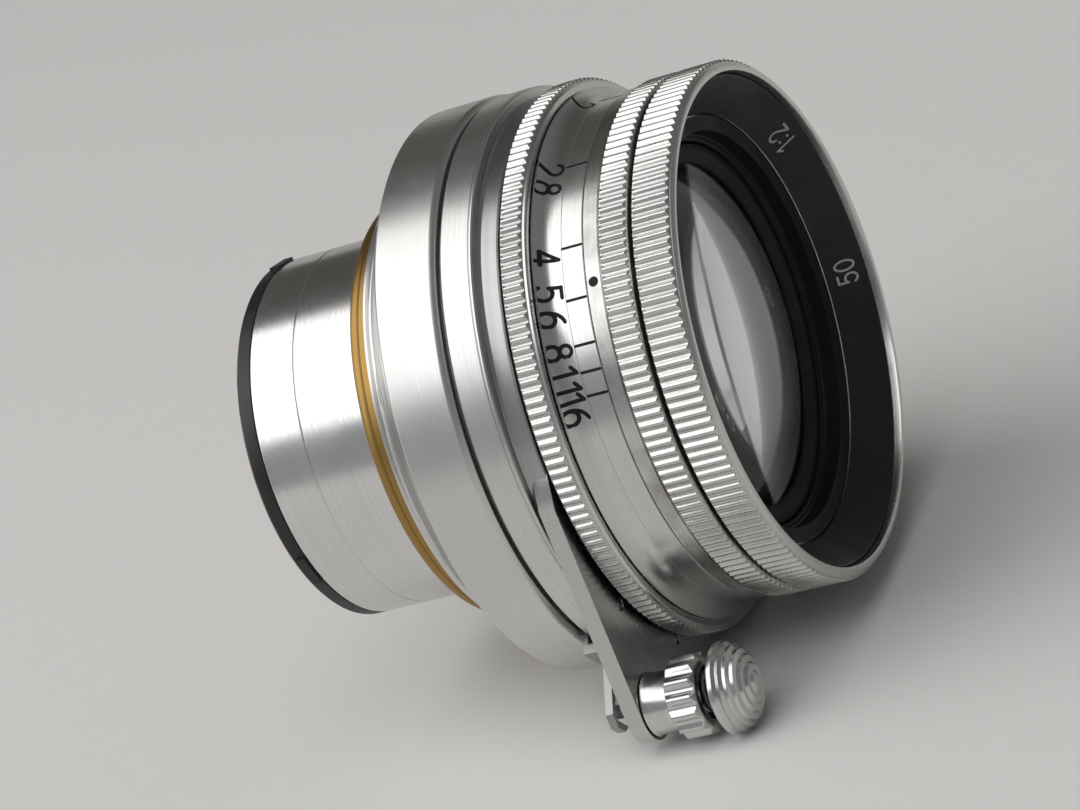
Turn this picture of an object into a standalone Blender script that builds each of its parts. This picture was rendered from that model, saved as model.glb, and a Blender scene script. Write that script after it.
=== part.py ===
"""Collapsible 5 cm f/2 lens with a 39 mm screw mount, lying on its side, tube pushed in.

The optical axis is world X with the front towards +X, and X = 0 is the flange's seat face.
Pieces are drawn about the axis of an empty: its local Z is world X, its local X is world Z (up) and
its local Y is world -Y, so an angle is counted from straight up, towards -Y. Lengths are in mm.
"""

import math

import bmesh
import bpy
from mathutils import Matrix, Vector

MM = 0.001

# Driving dimensions ---------------------------------------------------------------------------
CLEAR = 0.3            # gap between pieces that move, or that stand close
FIT = 0.1              # gap between faces that are clamped or cemented together

FLANGE_R = 24.0        # fixed flange, and the radius that the lens rests on
FLANGE_FRONT = 5.1
GROOVE_R = 22.4        # bottom of the groove between the flange and the focus ring
THREAD_R = 19.5        # 39 mm screw mount
THREAD_REAR = -3.9
HELICOID_R = 18.1
HELICOID_REAR = -6.0
HELICOID_FRONT = 8.6
TUBE_R = 15.5
TUBE_BORE = 14.3
TUBE_REAR = -16.4
TUBE_FRONT = 10.2
END_RING_REAR = -18.4
FOCUS_R = 23.8
FOCUS_REAR = 5.9
FOCUS_FRONT = 8.8
NECK_R = 22.6          # polished neck in front of the focus band
NECK_FRONT = 10.5
GRIP_R = 23.4
GRIP_REAR = 10.9
GRIP_FRONT = 13.2
SCALE_R = 21.3
SCALE_FRONT = 17.3
APERTURE_R = 21.7
APERTURE_FRONT = 21.3
FRONT_R = 21.7
FRONT_REAR = 21.6
RIM_FRONT = 25.3
SLEEVE_FRONT = 18.4
BARREL_R = 18.4        # head barrel, which the grip ring and the scale sleeve are pushed over
CELL_R = 15.5          # front lens cell where it runs inside the drive sleeve
CELL_MOUTH_R = 16.6    # and in front of the sleeve, inside the aperture ring
RECESS_R = 18.0        # mouth of the recess, inside the name ring
RIM_BORE = 20.6
REAR_CELL_R = 13.2

LEVER_ANGLE = 132.4    # lever at infinity, which lets its knob touch the ground beside the flange
LEVER_R = 29.95        # axis of the knob
LEVER_REAR = 9.1
LEVER_THICK = 1.4
LEVER_SPREAD = 44      # degrees from the middle of the lever's root to its end
LEVER_EYE_R = 2.9
KNOB_R = 3.75
COLLAR_R = 3.4
NECK_POST_R = 2.5
POST_BORE = 1.3        # hole through the post for the lock pin
SPRING_BORE = 2.2
SPRING_REAR = 13.2
COLLAR_REAR = 12.8
COLLAR_FRONT = 15.6
BUTTON_REAR = 16.9
BUTTON_TOP = 19.8
CATCH_REAR = 6.9
CATCH_FRONT = 7.6
CATCH_LEG_IN = 24.3
LUG_ANGLES = (109.1, 229.1, 349.1)
LUG_R = 16.3
LUG_HALF = 1.5         # half the width of a lug
LUG_REAR = -17.9
LUG_FRONT = -16.7

FRONT_GLASS_R = 14.7
FRONT_CROWN = 22.0     # foremost point of the front element
FRONT_CURVE = 36.0
STOP_OPEN = 9.5        # radius of the iris at f/2
PIVOT_R = 11.6         # radius of the circle of blade pivots
BLADE_COUNT = 6
BLADE_REAR = 4.6
BLADE_PITCH = 0.3
BLADE_THICK = 0.15
BLADE_WIDTH = 3.0
BLADE_SPAN = 118       # degrees of arc from the pivot to the tip
TURN_TO_OPEN = 60.6    # degrees the aperture ring turns back from rest to f/2
TURN_TO_CLOSED = 23.0  # and on from rest to f/16
BLADE_RATIO = 0.5      # turn of a blade for a turn of the ring
PIN_ANGLE = 200.0

OUTER = 40             # facets round the large rings
INNER = 24             # facets round the pieces inside
GLASS = 20             # facets round the lens elements
FLUTES = 14            # flutes round the knob's collar
SMALL = 12             # facets round pins and screws


# Materials ------------------------------------------------------------------------------------
def material(name, colour, roughness, metallic, transmission=0.0):
    made = bpy.data.materials.new(name)
    made.use_nodes = True
    shader = made.node_tree.nodes["Principled BSDF"]
    shader.inputs["Base Color"].default_value = (*colour, 1.0)
    shader.inputs["Roughness"].default_value = roughness
    shader.inputs["Metallic"].default_value = metallic
    shader.inputs["Transmission Weight"].default_value = transmission
    return made


def make_materials():
    return {
        "satin_chrome": material("satin_chrome", (0.62, 0.62, 0.61), 0.35, 1.0),
        "polished_chrome": material("polished_chrome", (0.72, 0.72, 0.72), 0.12, 1.0),
        "brass": material("brass", (0.62, 0.44, 0.16), 0.35, 1.0),
        "black_paint": material("black_paint", (0.02, 0.02, 0.02), 0.4, 0.0),
        "black_iris": material("black_iris", (0.03, 0.03, 0.035), 0.5, 0.6),
        "coated_glass": material("coated_glass", (0.9, 0.9, 0.92), 0.02, 0.0, 1.0),
        "felt": material("felt", (0.05, 0.05, 0.05), 0.95, 0.0),
        "steel": material("steel", (0.5, 0.5, 0.5), 0.3, 1.0),
    }


# Building blocks ------------------------------------------------------------------------------
def clear_scene():
    for old in list(bpy.data.objects):
        bpy.data.objects.remove(old, do_unlink=True)


def empty(name, parent=None, x=0.0, r=0.0, angle=0.0):
    """An empty on the lens axis, or at radius r and an angle, whose local Z is the lens axis."""
    made = bpy.data.objects.new(name, None)
    bpy.context.collection.objects.link(made)
    if parent is None:
        made.matrix_world = Matrix(((0, 0, 1, 0), (0, -1, 0, 0), (1, 0, 0, 0), (0, 0, 0, 1)))
        return made
    made.parent = parent
    turn = math.radians(angle)
    made.location = Vector((r * math.cos(turn), r * math.sin(turn), x)) * MM
    made.rotation_euler = (0, 0, turn)
    return made


def finish(mesh, name, surface, parent, sharp=35):
    """Closes a bmesh into a smooth-shaded object below the parent empty."""
    bmesh.ops.recalc_face_normals(mesh, faces=mesh.faces)
    data = bpy.data.meshes.new(name)
    mesh.to_mesh(data)
    mesh.free()
    data.shade_smooth()
    data.set_sharp_from_angle(angle=math.radians(sharp))
    data.materials.append(surface)
    made = bpy.data.objects.new(name, data)
    bpy.context.collection.objects.link(made)
    made.parent = parent
    return made


def turned(name, outline, surface, parent, facets=OUTER, flutes=None):
    """Turns a closed outline of (x, radius) about the local Z. Points at radius 0 become poles.

    flutes = (depth, least radius) draws every second facet edge in by depth, where it is outside
    the least radius, for a fluted grip.
    """
    mesh = bmesh.new()
    rows = []
    for x, radius in outline:
        if radius == 0:
            rows.append([mesh.verts.new((0, 0, x * MM))] * facets)
            continue
        row = []
        for i in range(facets):
            turn = 2 * math.pi * i / facets
            r = radius
            if flutes and i % 2 and radius > flutes[1]:
                r -= flutes[0]
            row.append(mesh.verts.new((r * MM * math.cos(turn), r * MM * math.sin(turn), x * MM)))
        rows.append(row)
    for one, two in zip(rows, rows[1:] + rows[:1]):
        for i in range(facets):
            j = (i + 1) % facets
            corners = list(dict.fromkeys((one[i], one[j], two[j], two[i])))
            if len(corners) > 2:
                mesh.faces.new(corners)
    return finish(mesh, name, surface, parent)


def slab(name, outline, low, high, surface, parent):
    """Extrudes a closed outline of local (x, y) from local z = low to high."""
    mesh = bmesh.new()
    base = mesh.faces.new([mesh.verts.new((x * MM, y * MM, low * MM)) for x, y in outline])
    top = bmesh.ops.extrude_face_region(mesh, geom=[base])["geom"]
    moved = [v for v in top if isinstance(v, bmesh.types.BMVert)]
    bmesh.ops.translate(mesh, verts=moved, vec=(0, 0, (high - low) * MM))
    return finish(mesh, name, surface, parent)


def block(name, low, high, surface, parent):
    """A box between two corners given as local (x, y, z)."""
    outline = [(low[0], low[1]), (high[0], low[1]), (high[0], high[1]), (low[0], high[1])]
    return slab(name, outline, low[2], high[2], surface, parent)


def cutter(made):
    made.hide_render = True
    made.display_type = "WIRE"
    return made


def cut(target, tool):
    modifier = target.modifiers.new("cut_" + tool.name, "BOOLEAN")
    modifier.operation = "DIFFERENCE"
    modifier.object = cutter(tool)


def join(target, tool):
    modifier = target.modifiers.new("join_" + tool.name, "BOOLEAN")
    modifier.operation = "UNION"
    modifier.object = cutter(tool)


def arc(centre, radius, start, stop, steps):
    """Points along an arc in a plane, angles in degrees."""
    points = []
    for i in range(steps + 1):
        turn = math.radians(start + (stop - start) * i / steps)
        points.append((centre[0] + radius * math.cos(turn), centre[1] + radius * math.sin(turn)))
    return points


def sag(curve, r):
    """How far a spherical surface falls back from its crown at radius r."""
    return math.copysign(abs(curve) - math.sqrt(curve * curve - r * r), curve)


# Mount: fixed to the camera or enlarger --------------------------------------------------------
def build_mount(axis, skin):
    sleeve = HELICOID_R + CLEAR
    turned(
        "mount_flange",
        [
            (THREAD_REAR, sleeve),
            (THREAD_REAR, THREAD_R - 0.4),
            (THREAD_REAR + 0.4, THREAD_R),
            (0.0, THREAD_R),
            (0.0, FLANGE_R - 0.2),
            (0.2, FLANGE_R),
            (FLANGE_FRONT - 0.2, FLANGE_R),
            (FLANGE_FRONT, FLANGE_R - 0.2),
            (FLANGE_FRONT, GROOVE_R),
            (FLANGE_FRONT + 0.4, GROOVE_R),
            (FLANGE_FRONT + 0.4, sleeve + 0.9),
            (FOCUS_FRONT, sleeve + 0.9),
            (FOCUS_FRONT, sleeve),
        ],
        skin["satin_chrome"],
        axis,
    )
    turned(
        "focus_retaining_ring",
        [(9.0, 18.6), (9.0, 20.8), (9.7, 20.8), (9.7, 18.6)],
        skin["black_paint"],
        axis,
    )
    build_catch(axis, skin)


def build_catch(axis, skin):
    """A cranked tongue rooted in the groove in front of the flange. Its slot takes the lock pin."""
    here = empty("catch_seat", axis, angle=LEVER_ANGLE)
    chrome = skin["polished_chrome"]
    half = 1.5
    tip = 31.5
    corner = 0.9
    slot_half = 0.95
    groove_rear = FLANGE_FRONT + FIT
    tongue = slab(
        "infinity_catch",
        [
            (CATCH_LEG_IN, -half),
            (tip - corner, -half),
            (tip, corner - half),
            (tip, half - corner),
            (tip - corner, half),
            (CATCH_LEG_IN, half),
        ],
        CATCH_REAR,
        CATCH_FRONT,
        chrome,
        here,
    )
    leg_low = (CATCH_LEG_IN, -half, groove_rear)
    leg_high = (CATCH_LEG_IN + 0.8, half, CATCH_FRONT - 0.05)
    join(tongue, block("catch_leg", leg_low, leg_high, chrome, here))
    root_low = (GROOVE_R + 0.4, 0.05 - half, groove_rear)
    root_high = (CATCH_LEG_IN + 0.7, half - 0.05, FOCUS_REAR - 0.2)
    join(tongue, block("catch_root", root_low, root_high, chrome, here))
    slot_low = (LEVER_R - slot_half, -1.0, CATCH_REAR - 0.5)
    slot_high = (LEVER_R + slot_half, half + 1.0, CATCH_FRONT + 0.5)
    cut(tongue, block("catch_slot", slot_low, slot_high, chrome, here))
    for number, side in ((1, 0.8), (2, -0.8)):
        seat = empty(f"catch_screw_seat_{number}", here, CATCH_FRONT + FIT, CATCH_LEG_IN + 2.3)
        seat.location.y = side * MM
        screw(f"catch_screw_{number}", 0.6, 0.45, skin["steel"], seat)


def screw(name, radius, height, surface, parent):
    """A slotted cheese head that stands on the local XY plane."""
    head = turned(
        name,
        [(0, 0), (0, radius), (height * 0.75, radius), (height, radius * 0.8), (height, 0)],
        surface,
        parent,
        SMALL,
    )
    low = (-2 * radius, -radius * 0.2, height * 0.5)
    high = (2 * radius, radius * 0.2, height * 2)
    cut(head, block(name + "_slot", low, high, surface, parent))


# Focus ring with its lever and lock -------------------------------------------------------------
def build_focus_ring(axis, skin):
    bore = HELICOID_R + 1.6
    turned(
        "focus_ring",
        [
            (FOCUS_REAR, bore),
            (FOCUS_REAR, FOCUS_R - 0.15),
            (FOCUS_REAR + 0.15, FOCUS_R),
            (FOCUS_FRONT - 0.15, FOCUS_R),
            (FOCUS_FRONT, FOCUS_R - 0.15),
            (FOCUS_FRONT, NECK_R),
            (NECK_FRONT, NECK_R),
            (NECK_FRONT, 21.2),
            (FOCUS_FRONT, 21.2),
            (FOCUS_FRONT, bore),
        ],
        skin["satin_chrome"],
        axis,
    )
    knob = empty("knob_axis", axis, r=LEVER_R, angle=LEVER_ANGLE)
    build_lever(axis, knob, skin)
    build_knob(knob, skin)


def build_lever(axis, knob, skin):
    """A flat plate on the shoulder of the focus ring, tapering from a wide root to the knob."""
    root = empty("lever_root", axis, angle=LEVER_ANGLE)
    inner = NECK_R + 0.25
    outer = FOCUS_R - 0.05
    end = math.radians(LEVER_SPREAD)
    across = outer * math.sin(end)
    along = LEVER_R - outer * math.cos(end)
    slant = math.atan2(across, along) - math.asin(LEVER_EYE_R / math.hypot(along, across))
    tangent = 90 - math.degrees(slant)
    plate = slab(
        "focus_lever",
        arc((0, 0), inner, LEVER_SPREAD, -LEVER_SPREAD, 10)
        + [(outer * math.cos(end), -across)]
        + arc((LEVER_R, 0), LEVER_EYE_R, -tangent, tangent, 8)
        + [(outer * math.cos(end), across)],
        LEVER_REAR,
        LEVER_REAR + LEVER_THICK,
        skin["polished_chrome"],
        root,
    )
    hole = turned(
        "lever_hole",
        [
            (LEVER_REAR - 1, 0),
            (LEVER_REAR - 1, POST_BORE),
            (LEVER_REAR + LEVER_THICK + 1, POST_BORE),
            (LEVER_REAR + LEVER_THICK + 1, 0),
        ],
        skin["steel"],
        knob,
        SMALL,
    )
    cut(plate, hole)
    head_r = 0.42
    for number, angle in ((1, 12), (2, -12)):
        seat_front = LEVER_REAR + LEVER_THICK - 0.4
        seat = empty(f"lever_screw_seat_{number}", root, seat_front, NECK_R + 0.85, angle)
        pocket = turned(
            f"lever_screw_pocket_{number}",
            [(-FIT, 0), (-FIT, head_r + FIT), (1.0, head_r + FIT), (1.0, 0)],
            skin["steel"],
            seat,
            SMALL,
        )
        cut(plate, pocket)
        screw(f"lever_screw_{number}", head_r, 0.35, skin["steel"], seat)


def build_knob(knob, skin):
    post_rear = LEVER_REAR + LEVER_THICK + FIT
    turned(
        "lever_post",
        [
            (post_rear, POST_BORE),
            (post_rear, NECK_POST_R),
            (COLLAR_REAR, NECK_POST_R),
            (COLLAR_REAR + 0.3, COLLAR_R),
            (COLLAR_FRONT - 0.3, COLLAR_R),
            (COLLAR_FRONT, COLLAR_R - 0.4),
            (COLLAR_FRONT, SPRING_BORE),
            (SPRING_REAR, SPRING_BORE),
            (SPRING_REAR, POST_BORE),
        ],
        skin["polished_chrome"],
        knob,
        2 * FLUTES,
        flutes=(0.35, NECK_POST_R),
    )
    turned(
        "lock_button",
        [
            (BUTTON_REAR, 1.2),
            (BUTTON_REAR, KNOB_R - 0.2),
            (BUTTON_REAR + 0.2, KNOB_R),
            (BUTTON_REAR + 0.6, KNOB_R),
            (BUTTON_REAR + 1.3, KNOB_R - 0.5),
            (BUTTON_REAR + 2.0, KNOB_R - 1.3),
            (BUTTON_REAR + 2.6, KNOB_R - 2.4),
            (BUTTON_TOP, 0),
            (BUTTON_REAR + 1.2, 0),
            (BUTTON_REAR + 1.2, 1.2),
        ],
        skin["polished_chrome"],
        knob,
        INNER,
    )
    turned(
        "lock_pin",
        [
            (CATCH_REAR - 0.3, 0),
            (CATCH_REAR - 0.3, 0.6),
            (SPRING_REAR + 0.3, 0.6),
            (SPRING_REAR + 0.3, 0.9),
            (BUTTON_REAR + 1.1, 0.9),
            (BUTTON_REAR + 1.1, 0),
        ],
        skin["steel"],
        knob,
        SMALL,
    )
    coil_spring("lock_spring", 1.55, 0.18, SPRING_REAR + 0.4, COLLAR_FRONT + 0.1, 4, skin["steel"], knob)


def coil_spring(name, radius, wire, low, high, turns, surface, parent):
    data = bpy.data.curves.new(name, "CURVE")
    data.dimensions = "3D"
    data.bevel_depth = wire * MM
    data.bevel_resolution = 1
    data.use_fill_caps = True
    steps = turns * 9
    line = data.splines.new("POLY")
    line.points.add(steps)
    for i in range(steps + 1):
        turn = 2 * math.pi * turns * i / steps
        z = low + (high - low) * i / steps
        line.points[i].co = (radius * math.cos(turn) * MM, radius * math.sin(turn) * MM, z * MM, 1)
    data.materials.append(surface)
    made = bpy.data.objects.new(name, data)
    bpy.context.collection.objects.link(made)
    made.parent = parent
    return made


# Helicoid barrel, which carries the tube --------------------------------------------------------
def build_helicoid(axis, skin):
    guide = TUBE_R + CLEAR + 0.1
    chamber = LUG_R + CLEAR
    barrel = turned(
        "helicoid_barrel",
        [
            (HELICOID_REAR, guide),
            (HELICOID_REAR, HELICOID_R - 0.2),
            (HELICOID_REAR + 0.2, HELICOID_R),
            (HELICOID_FRONT, HELICOID_R),
            (HELICOID_FRONT, guide),
            (4.0, guide),
            (4.0, chamber),
            (0.6, chamber),
            (0.6, guide),
            (-2.2, guide),
            (-2.2, chamber),
            (HELICOID_REAR + 0.7, chamber),
            (HELICOID_REAR + 0.7, guide),
        ],
        skin["brass"],
        axis,
    )
    for number, angle in enumerate(LUG_ANGLES, 1):
        here = empty(f"notch_seat_{number}", axis, angle=angle)
        low = (TUBE_R - 0.5, -LUG_HALF - 0.7, HELICOID_REAR - 1.0)
        high = (chamber, LUG_HALF + 0.7, HELICOID_REAR + 1.4)
        cut(barrel, block(f"bayonet_notch_{number}", low, high, skin["brass"], here))
    turned(
        "felt_ring",
        [(0.9, TUBE_R + 0.25), (0.9, chamber - 0.3), (3.7, chamber - 0.3), (3.7, TUBE_R + 0.25)],
        skin["felt"],
        axis,
    )


# Sliding tube and lens head ---------------------------------------------------------------------
def build_tube(axis, skin):
    turned(
        "sliding_tube",
        [
            (TUBE_REAR, TUBE_BORE),
            (TUBE_REAR, TUBE_R),
            (TUBE_FRONT, TUBE_R),
            (TUBE_FRONT, TUBE_BORE),
            (-8.6, TUBE_BORE),
            (-8.6, 12.6),
            (-9.6, 12.6),
            (-9.6, TUBE_BORE),
        ],
        skin["polished_chrome"],
        axis,
    )
    ring = turned(
        "tube_end_ring",
        [
            (END_RING_REAR, 13.6),
            (END_RING_REAR, TUBE_R - 0.2),
            (END_RING_REAR + 0.2, TUBE_R),
            (TUBE_REAR - FIT, TUBE_R),
            (TUBE_REAR - FIT, 13.6),
        ],
        skin["black_paint"],
        axis,
    )
    for number, angle in enumerate(LUG_ANGLES, 1):
        here = empty(f"lug_seat_{number}", axis, angle=angle)
        low = (TUBE_R - 1.0, -LUG_HALF, LUG_REAR)
        high = (LUG_R, LUG_HALF, LUG_FRONT)
        join(ring, block(f"bayonet_lug_{number}", low, high, skin["black_paint"], here))


def build_head(axis, skin):
    turned(
        "head_barrel",
        [
            (8.9, TUBE_R + CLEAR),
            (8.9, BARREL_R),
            (SCALE_FRONT - 0.3, BARREL_R),
            (SCALE_FRONT - 0.3, 17.0),
            (10.6, 17.0),
            (10.6, TUBE_R + CLEAR),
        ],
        skin["satin_chrome"],
        axis,
    )
    turned(
        "grip_ring",
        [
            (GRIP_REAR, BARREL_R + FIT),
            (GRIP_REAR, GRIP_R - 0.3),
            (GRIP_REAR + 0.3, GRIP_R),
            (GRIP_FRONT - 0.3, GRIP_R),
            (GRIP_FRONT, GRIP_R - 0.3),
            (GRIP_FRONT, BARREL_R + FIT),
        ],
        skin["satin_chrome"],
        axis,
    )
    flare = arc((GRIP_FRONT + FIT + 2.0, SCALE_R + 2.0), 2.0, 210, 270, 3)
    turned(
        "scale_sleeve",
        [(GRIP_FRONT + FIT, BARREL_R + FIT), (GRIP_FRONT + FIT, SCALE_R + 1.0)]
        + flare
        + [(SCALE_FRONT, SCALE_R), (SCALE_FRONT, BARREL_R + FIT)],
        skin["satin_chrome"],
        axis,
    )
    turned(
        "front_ring",
        [
            (FRONT_REAR, RECESS_R + 0.7),
            (FRONT_REAR, FRONT_R - 0.2),
            (FRONT_REAR + 0.2, FRONT_R),
            (RIM_FRONT - 0.3, FRONT_R),
            (RIM_FRONT, FRONT_R - 0.4),
            (RIM_FRONT, RIM_BORE + 0.1),
            (RIM_FRONT - 0.7, RIM_BORE),
            (FRONT_REAR + 0.7, RIM_BORE),
            (FRONT_REAR + 0.7, RECESS_R + 0.7),
        ],
        skin["satin_chrome"],
        axis,
    )
    turned(
        "name_ring",
        [
            (FRONT_REAR + 0.15, RECESS_R),
            (FRONT_REAR + 0.15, RECESS_R + 0.6),
            (FRONT_REAR + 0.8, RECESS_R + 0.6),
            (FRONT_REAR + 0.8, RIM_BORE - FIT),
            (RIM_FRONT - 0.8, RIM_BORE - FIT),
            (RIM_FRONT - 0.8, RIM_BORE - 0.4),
        ],
        skin["black_paint"],
        axis,
    )


# Optics -----------------------------------------------------------------------------------------
def element(name, front, front_curve, rear, rear_curve, radius, axis, skin):
    """A lens element: crowns at front and rear, each curve positive when it bulges forwards."""
    steps = 3
    outline = [(front, 0)]
    for i in range(1, steps + 1):
        r = radius * i / steps
        outline.append((front - sag(front_curve, r), r))
    for i in range(steps, 0, -1):
        r = radius * i / steps
        outline.append((rear - sag(rear_curve, r), r))
    outline.append((rear, 0))
    return turned(name, outline, skin["coated_glass"], axis, GLASS)


def build_front_optics(axis, skin):
    bore = FRONT_GLASS_R + 0.2
    step = SLEEVE_FRONT + CLEAR
    turned(
        "front_cell",
        [
            (7.6, 10.9),
            (7.6, REAR_CELL_R),
            (11.2, REAR_CELL_R),
            (11.8, CELL_R),
            (step, CELL_R),
            (step, CELL_MOUTH_R),
            (FRONT_REAR - 0.1, CELL_MOUTH_R),
            (FRONT_REAR - 0.1, RECESS_R - 0.15),
            (FRONT_REAR + 0.15, RECESS_R - 0.15),
            (step + 1.2, CELL_MOUTH_R - 0.5),
            (step + 0.1, CELL_MOUTH_R - 0.5),
            (step + 0.1, bore),
            (16.0, bore),
            (16.0, 13.8),
            (12.1, 12.0),
            (11.4, 10.9),
        ],
        skin["black_paint"],
        axis,
        OUTER,
    )
    element("element_1", FRONT_CROWN, FRONT_CURVE, 18.2, 300, FRONT_GLASS_R, axis, skin)
    element("element_2", 18.2 - FIT, 300, 16.9, 160, FRONT_GLASS_R, axis, skin)
    element("element_3", 13.0, 22, 9.9, 60, 10.6, axis, skin)
    element("element_4", 9.9 - FIT, 60, 8.9, 45, 10.6, axis, skin)
    turned(
        "front_retaining_ring",
        [
            (step + 0.35, FRONT_GLASS_R - 0.3),
            (step + 0.35, CELL_MOUTH_R - 0.7),
            (step + 1.1, CELL_MOUTH_R - 0.7),
            (step + 1.1, CELL_MOUTH_R - 1.3),
            (step + 0.6, FRONT_GLASS_R - 0.2),
        ],
        skin["black_paint"],
        axis,
        INNER,
    )


def build_rear_optics(axis, skin):
    turned(
        "rear_cell",
        [
            (-8.5, 11.3),
            (-8.5, REAR_CELL_R),
            (3.6, REAR_CELL_R),
            (3.6, 10.3),
            (-2.6, 10.3),
            (-2.6, 9.3),
            (-4.2, 9.3),
            (-4.2, 10.5),
            (-8.3, 10.5),
            (-8.3, 11.3),
        ],
        skin["black_paint"],
        axis,
        INNER,
    )
    element("element_5", 2.4, -45, 1.2, 40, 10.0, axis, skin)
    element("element_6", 1.2 - FIT, 40, -4.2, -26, 10.0, axis, skin)
    element("element_7", -4.9, 120, -9.0, -60, 10.2, axis, skin)
    turned(
        "rear_retaining_ring",
        [(-9.9, 9.4), (-9.9, 12.3), (-8.8, 12.3), (-8.8, 9.9)],
        skin["black_paint"],
        axis,
        INNER,
    )


# Iris and its ring --------------------------------------------------------------------------------
def build_iris(axis, skin):
    housing = turned(
        "iris_housing",
        [
            (3.9, 9.8),
            (3.9, REAR_CELL_R),
            (7.3, REAR_CELL_R),
            (7.3, REAR_CELL_R - 0.25),
            (4.3, REAR_CELL_R - 0.25),
            (4.3, 9.8),
        ],
        skin["black_iris"],
        axis,
        INNER,
    )
    cut(housing, build_pin_slot(axis, skin))
    turned(
        "iris_cam_ring",
        [(6.7, 9.8), (6.7, 12.6), (7.2, 12.6), (7.2, 9.8)],
        skin["black_iris"],
        axis,
        INNER,
    )
    for number in range(BLADE_COUNT):
        blade(number, axis, skin)


def build_pin_slot(axis, skin):
    """The wedge of housing wall that the drive pin sweeps, from f/2 to f/16."""
    room = 8
    start = PIN_ANGLE - TURN_TO_OPEN - room
    stop = PIN_ANGLE + TURN_TO_CLOSED + room
    outline = arc((0, 0), 12.75, start, stop, 8) + arc((0, 0), 14.0, stop, start, 8)
    return slab("drive_pin_slot", outline, 6.45, 8.0, skin["black_iris"], axis)


def blade(number, axis, skin):
    """A crescent that pivots at one end. Its inner edge frames the f/2 stop when it is open."""
    pivot = empty(f"blade_pivot_{number + 1}", axis, r=PIVOT_R, angle=60 * number)
    low = BLADE_REAR + BLADE_PITCH * number
    inner = arc((-PIVOT_R, 0), STOP_OPEN, 8, BLADE_SPAN, 8)
    outer = arc((-PIVOT_R, 0), STOP_OPEN + BLADE_WIDTH, BLADE_SPAN - 4, 0, 8)
    tail = [(0.75, -0.5), (0, -0.85), (-0.9, -0.6)]
    outline = inner + outer + tail
    name = f"iris_blade_{number + 1}"
    made = slab(name, outline, low, low + BLADE_THICK, skin["black_iris"], pivot)
    made.rotation_euler = (0, 0, math.radians(TURN_TO_OPEN * BLADE_RATIO))
    return made


def build_aperture_ring(axis, skin):
    turned(
        "aperture_ring",
        [
            (SCALE_FRONT + FIT, 16.9),
            (SCALE_FRONT + FIT, 21.4),
            (18.7, 21.4),
            (18.9, APERTURE_R),
            (APERTURE_FRONT - 0.2, APERTURE_R),
            (APERTURE_FRONT, APERTURE_R - 0.2),
            (APERTURE_FRONT, 16.9),
        ],
        skin["satin_chrome"],
        axis,
    )
    turned(
        "iris_drive_sleeve",
        [
            (4.8, 13.55),
            (4.8, 14.0),
            (10.9, 14.0),
            (11.3, 16.6),
            (SLEEVE_FRONT, 16.6),
            (SLEEVE_FRONT, CELL_R + 0.4),
            (11.7, CELL_R + 0.4),
            (11.0, 13.55),
        ],
        skin["black_iris"],
        axis,
    )
    pin_seat = empty("drive_pin_seat", axis, x=6.95, angle=PIN_ANGLE)
    pin_seat.rotation_euler = (0, math.radians(90), math.radians(PIN_ANGLE))
    turned(
        "iris_drive_pin",
        [(12.7, 0), (12.7, 0.25), (13.45, 0.25), (13.45, 0)],
        skin["steel"],
        pin_seat,
        SMALL,
    )


def main():
    clear_scene()
    skin = make_materials()
    axis = empty("optical_axis")
    build_mount(axis, skin)
    build_focus_ring(axis, skin)
    build_helicoid(axis, skin)
    build_tube(axis, skin)
    build_head(axis, skin)
    build_front_optics(axis, skin)
    build_rear_optics(axis, skin)
    build_iris(axis, skin)
    build_aperture_ring(axis, skin)


main()
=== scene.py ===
"""Looks of the collapsible 5 cm f/2 lens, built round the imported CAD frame.

The optical axis is world X with the front towards +X, and X = 0 is the flange's seat face. Lengths
are in mm unless a name says otherwise. An angle about the axis is counted in degrees from straight
up (+Z), towards -Y.
"""

import math

import bmesh
import bpy
from mathutils import Matrix, Vector


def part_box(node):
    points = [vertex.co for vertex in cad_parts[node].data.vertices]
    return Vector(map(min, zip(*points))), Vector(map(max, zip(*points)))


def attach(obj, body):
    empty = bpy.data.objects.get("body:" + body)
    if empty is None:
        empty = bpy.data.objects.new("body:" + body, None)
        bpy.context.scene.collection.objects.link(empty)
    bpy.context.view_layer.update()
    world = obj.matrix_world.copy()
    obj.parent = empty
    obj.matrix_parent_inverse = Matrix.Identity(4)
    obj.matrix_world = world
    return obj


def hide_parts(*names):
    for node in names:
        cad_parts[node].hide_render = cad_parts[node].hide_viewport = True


MM = 0.001
SEGMENTS = 240         # steps round a ring
SOFT = 0.06            # edge break on turned metal
SHARP_ANGLE = 34       # degrees between faces that still shade as one surface
BEVEL_ANGLE = 32       # degrees between faces whose edge is bevelled
FLAT_CORNER = 150      # degrees between an outline's sides above which a corner isn't rounded

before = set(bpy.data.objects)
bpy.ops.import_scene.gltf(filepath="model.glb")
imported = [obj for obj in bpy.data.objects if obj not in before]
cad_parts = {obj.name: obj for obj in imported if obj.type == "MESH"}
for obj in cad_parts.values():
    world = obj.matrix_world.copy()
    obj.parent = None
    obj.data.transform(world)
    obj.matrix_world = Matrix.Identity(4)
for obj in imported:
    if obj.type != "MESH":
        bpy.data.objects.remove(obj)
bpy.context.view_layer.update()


# Positions: read from the CAD's boxes, and the inner steps that no box shows ---------------------
def ends(node):
    """The rear and front x of a node, in mm."""
    low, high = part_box(node)
    return low.x / MM, high.x / MM


def radius(node):
    """The outer radius of a ring, in mm."""
    low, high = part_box(node)
    return (high.y - low.y) / 2 / MM


def knob_centre():
    """Angle about the optical axis and distance from it of the knob's own axis."""
    low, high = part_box("lock_pin")
    middle = (low + high) / 2
    return math.degrees(math.atan2(-middle.y, middle.z)), math.hypot(middle.y, middle.z) / MM


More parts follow.
